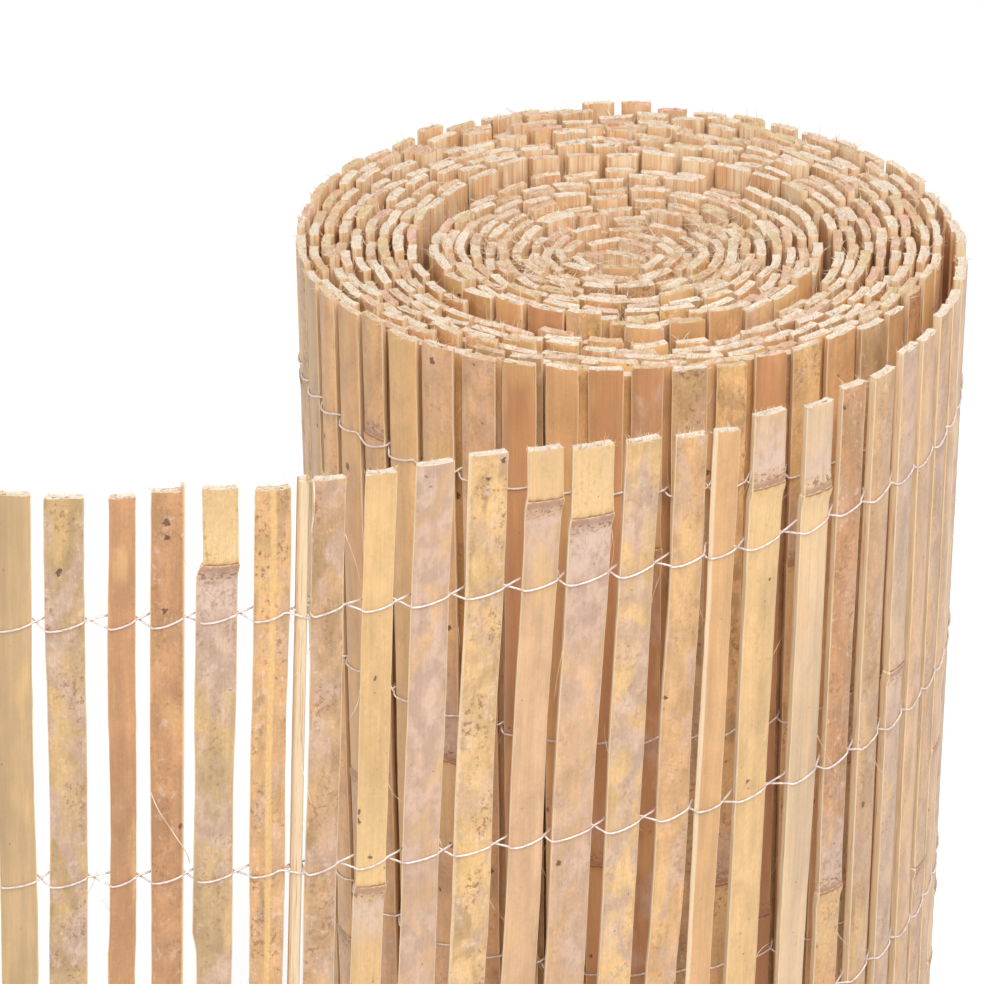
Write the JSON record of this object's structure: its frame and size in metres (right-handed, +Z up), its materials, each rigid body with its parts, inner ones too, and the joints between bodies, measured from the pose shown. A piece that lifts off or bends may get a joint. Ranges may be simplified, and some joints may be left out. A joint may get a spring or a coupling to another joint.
{
  "type": "bamboo fence panel",
  "caption": "Garden fence panel of upright split bamboo slats woven together with rows of twisted wire, rolled up and standing on end, with its outer wrap opened into a curved loose sheet.",
  "frame": {"origin": "on the roll's axis, at the foot of the slat in the middle of the core, on the floor", "axes": "+Z up along the slats; +Y away from the loose sheet's side, towards the back of the roll; the loose sheet leaves the roll at +X and runs past the front towards -X"},
  "size_m": [0.388, 0.3404, 0.503],
  "materials": {
    "bamboo": "dry split bamboo, satin skin",
    "wire": "galvanised binding wire"
  },
  "bodies": {
    "root": {"core_slats": "bamboo", "sheet_slat_01": "bamboo", "sheet_slat_02": "bamboo", "sheet_slat_03": "bamboo", "sheet_slat_04": "bamboo", "sheet_slat_05": "bamboo", "sheet_slat_06": "bamboo", "sheet_slat_07": "bamboo", "sheet_slat_08": "bamboo", "sheet_slat_09": "bamboo", "sheet_slat_10": "bamboo", "sheet_slat_11": "bamboo", "sheet_slat_12": "bamboo", "sheet_slat_13": "bamboo", "sheet_slat_14": "bamboo", "sheet_slat_15": "bamboo", "sheet_slat_16": "bamboo", "sheet_slat_17": "bamboo", "sheet_slat_18": "bamboo", "sheet_slat_19": "bamboo", "sheet_slat_20": "bamboo", "sheet_slat_21": "bamboo", "sheet_slat_22": "bamboo", "sheet_slat_23": "bamboo", "sheet_slat_24": "bamboo", "sheet_slat_25": "bamboo", "sheet_slat_26": "bamboo", "sheet_slat_27": "bamboo", "sheet_slat_28": "bamboo", "sheet_slat_29": "bamboo", "turn_01": "bamboo", "turn_02": "bamboo", "turn_03": "bamboo", "turn_04": "bamboo", "turn_05": "bamboo", "turn_06": "bamboo", "turn_07": "bamboo", "turn_08": "bamboo", "turn_09": "bamboo", "turn_10": "bamboo", "turn_11": "bamboo", "turn_12": "bamboo", "turn_13": "bamboo", "turn_14": "bamboo", "turn_15": "bamboo", "turn_16": "bamboo", "turn_17": "bamboo", "turn_18": "bamboo", "turn_19": "bamboo", "turn_20": "bamboo", "wire_row_1": "wire", "wire_row_2": "wire", "wire_row_3": "wire", "wire_row_4": "wire", "wire_row_5": "wire"}
  },
  "joints": []
}
